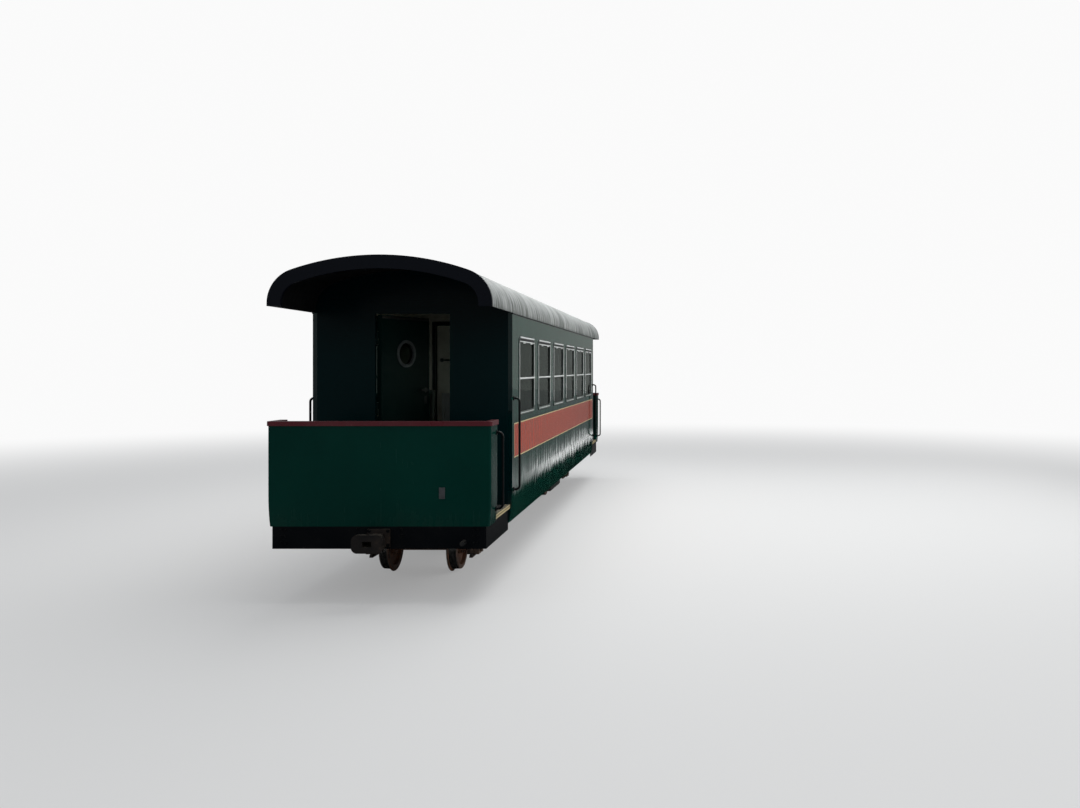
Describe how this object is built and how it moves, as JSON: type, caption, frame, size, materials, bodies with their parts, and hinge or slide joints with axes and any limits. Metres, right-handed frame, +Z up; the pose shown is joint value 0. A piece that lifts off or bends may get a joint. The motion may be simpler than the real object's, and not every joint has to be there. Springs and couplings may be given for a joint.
{
  "type": "narrow-gauge bogie passenger coach",
  "caption": "Narrow-gauge passenger coach with an arched roof over open end balconies, hinged end doors with portholes, a partition inside and pivoting bogies.",
  "frame": {"origin": "under the middle of the coach, on the plane that the wheel flanges stand on", "axes": "X along the coach with the front end at -X, Y across it with the right side at -Y, Z up"},
  "size_m": [9.556, 2.032, 2.9789],
  "materials": {
    "body_paint": "gloss green paint",
    "roof_paint": "weathered off-white paint",
    "dark_paint": "blue-black paint",
    "cap_paint": "dark satin paint, worn on top",
    "tread_paint": "cream paint, scuffed",
    "window_metal": "satin",
    "clear_glass": "clear",
    "door_paint": "dark green satin paint",
    "inner_paint": "pale grey-white satin paint",
    "handle_metal": "black satin",
    "floor_board": "worn boards",
    "bogie_paint": "black paint with brake dust",
    "wheel_steel": "turned tread, rusty web",
    "coupler_iron": "greasy black",
    "equipment_paint": "black paint",
    "seat_metal": "satin grey",
    "seat_cloth": "woven cloth"
  },
  "bodies": {
    "coach": {"side_left": "body_paint", "side_right": "body_paint", "bulkhead_front": "body_paint", "bulkhead_rear": "body_paint", "balcony_panel_front": "body_paint", "balcony_panel_rear": "body_paint", "roof": "roof_paint", "roof_rim_front": "dark_paint", "roof_rim_rear": "dark_paint", "sole_bars": "dark_paint", "cross_members": "dark_paint", "draw_beams": "dark_paint", "headstocks": "dark_paint", "handrails_left": "dark_paint", "handrails_right": "dark_paint", "door_hinges_front": "dark_paint", "door_hinges_rear": "dark_paint", "partition_frame": "dark_paint", "partition": "inner_paint", "cap_rail_front": "cap_paint", "cap_rail_rear": "cap_paint", "entrance_treads": "tread_paint", "window_frames_left": "window_metal", "window_frames_right": "window_metal", "window_glass_left": "clear_glass", "window_glass_right": "clear_glass", "floor": "floor_board", "coupler_front": "coupler_iron", "coupler_rear": "coupler_iron", "brake_pipe": "equipment_paint", "vacuum_cylinder": "equipment_paint", "battery_box": "equipment_paint", "seat_frames_left": "seat_metal", "seat_frames_right": "seat_metal", "seat_cushions_left": "seat_cloth", "seat_cushions_right": "seat_cloth"},
    "front_door": {"end_door_front": "door_paint", "door_handle_front": "handle_metal", "door_glass_front": "clear_glass", "porthole_rings_front": "window_metal"},
    "rear_door": {"end_door_rear": "door_paint", "door_handle_rear": "handle_metal", "door_glass_rear": "clear_glass", "porthole_rings_rear": "window_metal"},
    "partition_door": {"partition_door": "inner_paint", "partition_handle": "handle_metal"},
    "front_bogie": {"bogie_frame_front": "bogie_paint", "axleboxes_front": "bogie_paint", "brake_gear_front": "bogie_paint"},
    "rear_bogie": {"bogie_frame_rear": "bogie_paint", "axleboxes_rear": "bogie_paint", "brake_gear_rear": "bogie_paint"},
    "wheelset_1": {"wheelset_1": "wheel_steel"},
    "wheelset_2": {"wheelset_2": "wheel_steel"},
    "wheelset_3": {"wheelset_3": "wheel_steel"},
    "wheelset_4": {"wheelset_4": "wheel_steel"}
  },
  "joints": [
    {"name": "front_door_hinge", "type": "hinge", "parent": "coach", "child": "front_door", "pos_m": [-3.509, 0.355, 1.6], "axis": [0, 0, 1], "range_deg": [-67, 23]},
    {"name": "rear_door_hinge", "type": "hinge", "parent": "coach", "child": "rear_door", "pos_m": [3.509, -0.355, 1.6], "axis": [0, 0, 1], "range_deg": [0, 90]},
    {"name": "partition_door_hinge", "type": "hinge", "parent": "coach", "child": "partition_door", "pos_m": [-1.081, -0.255, 1.6], "axis": [0, 0, 1], "range_deg": [-90, 0]},
    {"name": "front_bogie_pivot", "type": "hinge", "parent": "coach", "child": "front_bogie", "pos_m": [-2.6, 0, 0.54], "axis": [0, 0, 1], "range_deg": [-7, 7]},
    {"name": "rear_bogie_pivot", "type": "hinge", "parent": "coach", "child": "rear_bogie", "pos_m": [2.6, 0, 0.54], "axis": [0, 0, 1], "range_deg": [-7, 7]},
    {"name": "wheelset_1_spin", "type": "hinge", "parent": "front_bogie", "child": "wheelset_1", "pos_m": [-3.175, 0, 0.25], "axis": [0, 1, 0], "continuous": true},
    {"name": "wheelset_2_spin", "type": "hinge", "parent": "front_bogie", "child": "wheelset_2", "pos_m": [-2.025, 0, 0.25], "axis": [0, 1, 0], "continuous": true},
    {"name": "wheelset_3_spin", "type": "hinge", "parent": "rear_bogie", "child": "wheelset_3", "pos_m": [2.025, 0, 0.25], "axis": [0, 1, 0], "continuous": true},
    {"name": "wheelset_4_spin", "type": "hinge", "parent": "rear_bogie", "child": "wheelset_4", "pos_m": [3.175, 0, 0.25], "axis": [0, 1, 0], "continuous": true}
  ]
}
